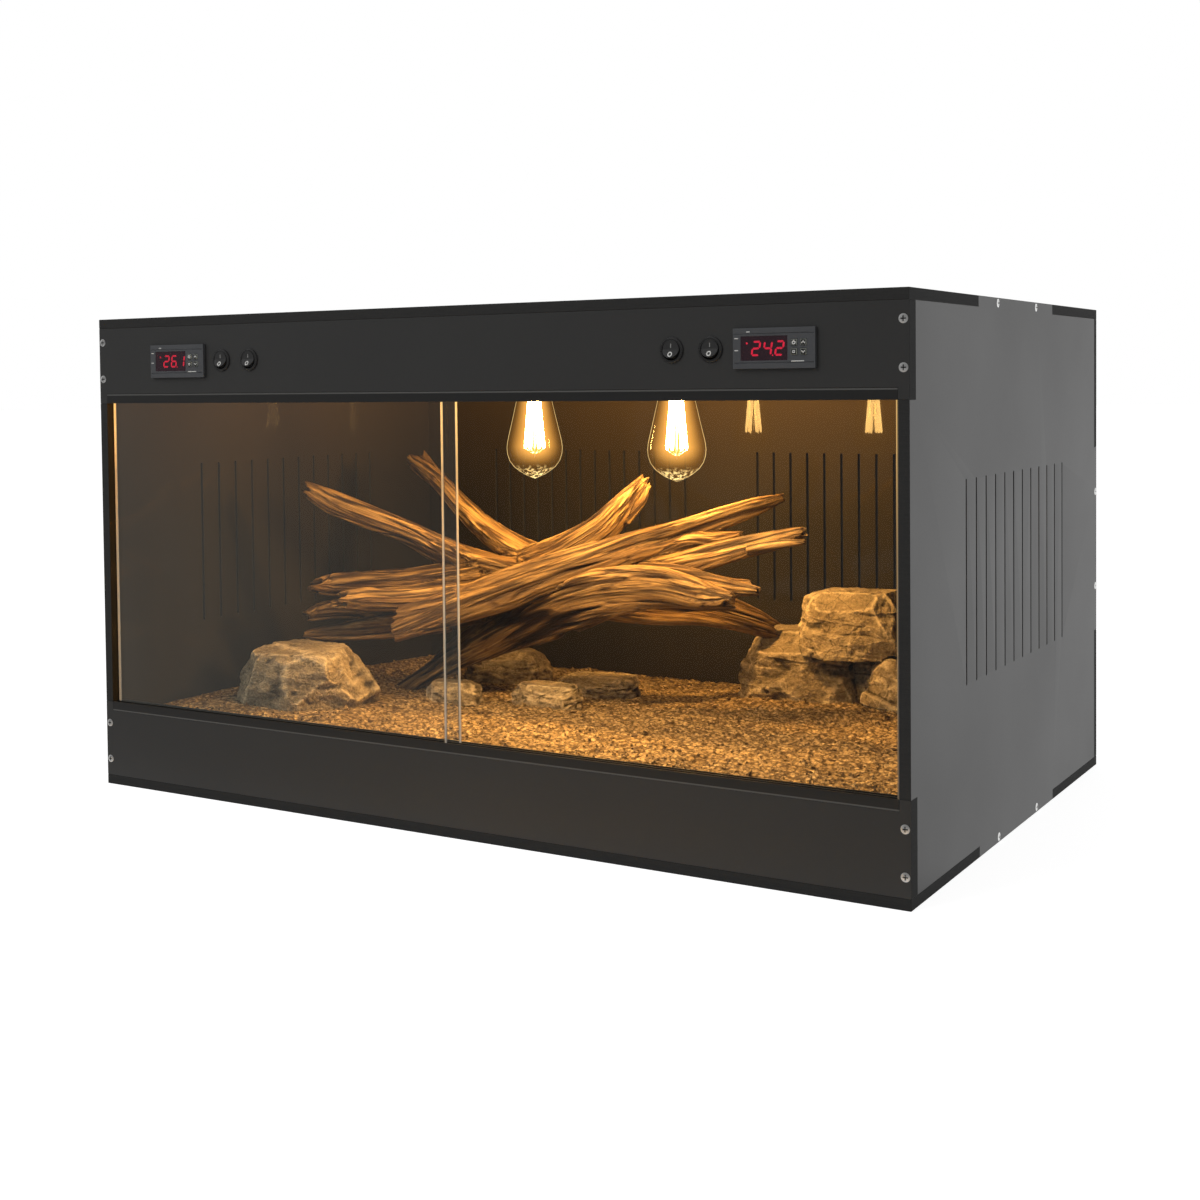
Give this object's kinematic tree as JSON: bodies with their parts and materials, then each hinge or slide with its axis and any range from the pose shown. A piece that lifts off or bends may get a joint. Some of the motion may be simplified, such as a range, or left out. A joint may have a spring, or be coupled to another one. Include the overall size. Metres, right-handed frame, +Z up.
{
  "type": "reptile terrarium",
  "caption": "Board cabinet with sliding glass doors, two temperature controllers, rocker switches, hanging lamps and a furnished sand floor.",
  "frame": {"origin": "middle of the model's footprint, on the surface that it stands on", "axes": "+X to the right seen from the front, +Y from the front to the back, +Z up"},
  "size_m": [0.9154, 0.6364, 0.508],
  "materials": {
    "board": "fine satin black foam board",
    "track": "extruded black plastic",
    "door_glass": "clear float glass with polished edges",
    "screw_steel": "zinc plated",
    "bezel_grey": "moulded dark grey plastic",
    "case_black": "moulded black plastic",
    "display_window": "smoked clear plastic",
    "display_red": "lit red bars",
    "clip_orange": "moulded orange plastic",
    "button_grey": "moulded pale grey-green plastic",
    "switch_black": "moulded black plastic",
    "rocker_black": "moulded black plastic with white marks",
    "holder_black": "heat-proof black moulding",
    "cap_brass": "pressed brass",
    "bulb_glass": "amber clear glass",
    "filament": "lit filament strands on a glass stem",
    "cover_black": "black plastic",
    "lead_black": "round black flex",
    "sand": "loose coarse sand with chips",
    "driftwood": "weathered, deeply grooved",
    "rock": "split grey-brown rock"
  },
  "bodies": {
    "cabinet": {"base_panel": "board", "top_panel": "board", "left_side_panel": "board", "right_side_panel": "board", "back_panel": "board", "upper_fascia": "board", "lower_fascia": "board", "upper_glass_track": "track", "lower_glass_track": "track", "upper_fascia_screws": "screw_steel", "lower_fascia_screws": "screw_steel", "left_side_screws": "screw_steel", "right_side_screws": "screw_steel", "left_controller_bezel": "bezel_grey", "left_controller_case": "case_black", "left_controller_window": "display_window", "left_controller_digits": "display_red", "left_controller_clips": "clip_orange", "right_controller_bezel": "bezel_grey", "right_controller_case": "case_black", "right_controller_window": "display_window", "right_controller_digits": "display_red", "right_controller_clips": "clip_orange", "left_outer_switch_body": "switch_black", "left_inner_switch_body": "switch_black", "right_inner_switch_body": "switch_black", "right_outer_switch_body": "switch_black", "left_lamp_holder": "holder_black", "left_bulb_cap": "cap_brass", "left_bulb_glass": "bulb_glass", "left_bulb_filament": "filament", "right_lamp_holder": "holder_black", "right_bulb_cap": "cap_brass", "right_bulb_glass": "bulb_glass", "right_bulb_filament": "filament", "wiring_cover": "cover_black", "wiring_cover_screws": "screw_steel", "inside_leads": "lead_black", "lead_clips": "cover_black", "mains_gland": "cover_black", "sand_bed": "sand", "driftwood": "driftwood", "left_boulder": "rock", "flat_stones": "rock", "right_lower_rocks": "rock", "right_upper_rock": "rock"},
    "left_door": {"left_glass_door": "door_glass"},
    "left_power_key": {"left_power_button": "button_grey"},
    "left_set_key": {"left_set_button": "button_grey"},
    "left_up_key": {"left_up_button": "button_grey"},
    "left_down_key": {"left_down_button": "button_grey"},
    "left_outer_rocker_body": {"left_outer_rocker": "rocker_black"},
    "left_inner_rocker_body": {"left_inner_rocker": "rocker_black"},
    "right_door": {"right_glass_door": "door_glass"},
    "right_power_key": {"right_power_button": "button_grey"},
    "right_set_key": {"right_set_button": "button_grey"},
    "right_up_key": {"right_up_button": "button_grey"},
    "right_down_key": {"right_down_button": "button_grey"},
    "right_outer_rocker_body": {"right_outer_rocker": "rocker_black"},
    "right_inner_rocker_body": {"right_inner_rocker": "rocker_black"}
  },
  "joints": [
    {"name": "left_door_slide", "type": "slide", "parent": "cabinet", "child": "left_door", "axis": [1, 0, 0], "range_m": [0, 0.44]},
    {"name": "right_door_slide", "type": "slide", "parent": "cabinet", "child": "right_door", "axis": [1, 0, 0], "range_m": [-0.44, 0]},
    {"name": "left_outer_rocker_tilt", "type": "hinge", "parent": "cabinet", "child": "left_outer_rocker_body", "pos_m": [-0.28, -0.31127, 0.461], "axis": [1, 0, 0], "range_deg": [0, 24]},
    {"name": "left_inner_rocker_tilt", "type": "hinge", "parent": "cabinet", "child": "left_inner_rocker_body", "pos_m": [-0.2425, -0.31127, 0.461], "axis": [1, 0, 0], "range_deg": [0, 24]},
    {"name": "right_outer_rocker_tilt", "type": "hinge", "parent": "cabinet", "child": "right_outer_rocker_body", "pos_m": [0.28, -0.31127, 0.461], "axis": [1, 0, 0], "range_deg": [0, 24]},
    {"name": "right_inner_rocker_tilt", "type": "hinge", "parent": "cabinet", "child": "right_inner_rocker_body", "pos_m": [0.2425, -0.31127, 0.461], "axis": [1, 0, 0], "range_deg": [0, 24]},
    {"name": "left_power_press", "type": "slide", "parent": "cabinet", "child": "left_power_key", "axis": [0, 1, 0], "range_m": [0, 0.0005], "stiffness_N_per_m": 500},
    {"name": "left_set_press", "type": "slide", "parent": "cabinet", "child": "left_set_key", "axis": [0, 1, 0], "range_m": [0, 0.0005], "stiffness_N_per_m": 500},
    {"name": "left_up_press", "type": "slide", "parent": "cabinet", "child": "left_up_key", "axis": [0, 1, 0], "range_m": [0, 0.0005], "stiffness_N_per_m": 500},
    {"name": "left_down_press", "type": "slide", "parent": "cabinet", "child": "left_down_key", "axis": [0, 1, 0], "range_m": [0, 0.0005], "stiffness_N_per_m": 500},
    {"name": "right_power_press", "type": "slide", "parent": "cabinet", "child": "right_power_key", "axis": [0, 1, 0], "range_m": [0, 0.0005], "stiffness_N_per_m": 500},
    {"name": "right_set_press", "type": "slide", "parent": "cabinet", "child": "right_set_key", "axis": [0, 1, 0], "range_m": [0, 0.0005], "stiffness_N_per_m": 500},
    {"name": "right_up_press", "type": "slide", "parent": "cabinet", "child": "right_up_key", "axis": [0, 1, 0], "range_m": [0, 0.0005], "stiffness_N_per_m": 500},
    {"name": "right_down_press", "type": "slide", "parent": "cabinet", "child": "right_down_key", "axis": [0, 1, 0], "range_m": [0, 0.0005], "stiffness_N_per_m": 500}
  ]
}
